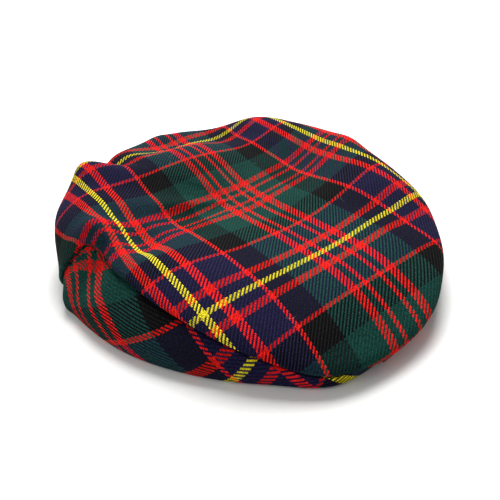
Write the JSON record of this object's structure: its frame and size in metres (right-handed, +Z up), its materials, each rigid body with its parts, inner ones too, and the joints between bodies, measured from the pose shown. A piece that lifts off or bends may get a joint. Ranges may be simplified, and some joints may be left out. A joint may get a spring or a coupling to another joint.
{
  "type": "flat cap",
  "caption": "Soft tartan flat cap lying on a surface: a slouched hollow cloth crown sewn down over a stiff sloping peak, open below for the head.",
  "frame": {"origin": "centre of the footprint on the surface that the cap lies on", "axes": "+Z up, -Y towards the front of the cap, +X towards the wearer's left"},
  "size_m": [0.2602, 0.2413, 0.0507],
  "materials": {
    "crown_cloth": "tartan wool twill",
    "peak_cloth": "tartan wool twill over a stiff board"
  },
  "bodies": {
    "root": {"crown": "crown_cloth", "peak": "peak_cloth"}
  },
  "joints": []
}
